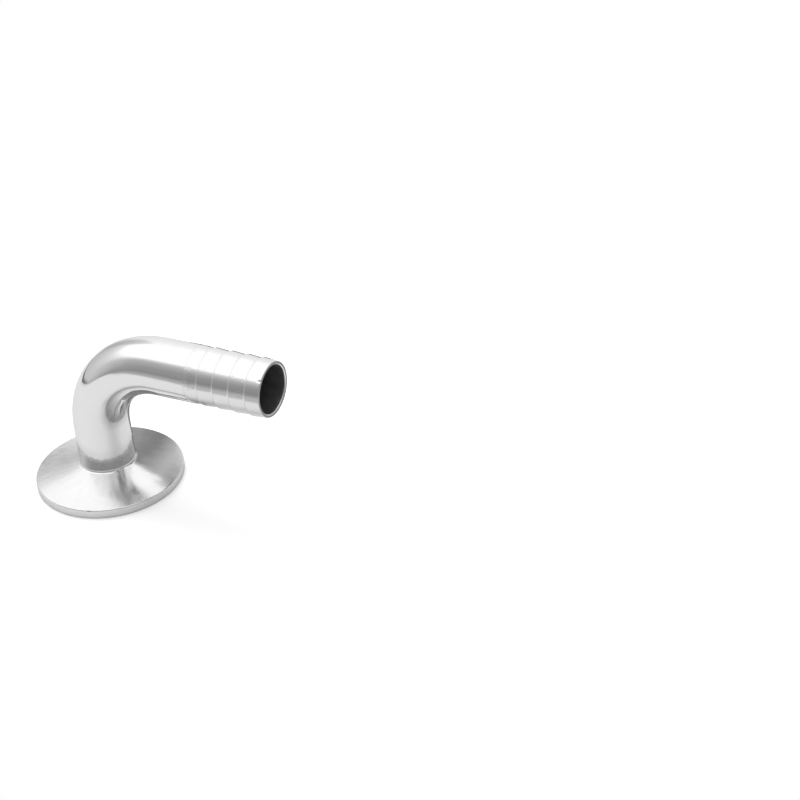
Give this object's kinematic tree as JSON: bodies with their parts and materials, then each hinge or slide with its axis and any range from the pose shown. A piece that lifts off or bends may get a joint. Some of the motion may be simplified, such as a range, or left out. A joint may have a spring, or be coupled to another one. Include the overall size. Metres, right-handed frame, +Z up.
{
  "type": "hose barb elbow",
  "caption": "Right-angle stainless steel tube elbow with a flat clamp ferrule at its foot and a ribbed hose barb on its arm.",
  "frame": {"origin": "centre of the ferrule's flat sealing face, on the bore's axis", "axes": "+Z up the ferrule's bore, +X along the barb's bore and out of its mouth, and the part is symmetric about the XZ plane"},
  "size_m": [0.095, 0.0504, 0.0596],
  "materials": {
    "turned_steel": "lathe-turned stainless steel with fine rings",
    "polished_steel": "mirror-polished stainless steel"
  },
  "bodies": {
    "root": {"ferrule": "turned_steel", "bend": "polished_steel", "hose_barb": "turned_steel"}
  },
  "joints": []
}
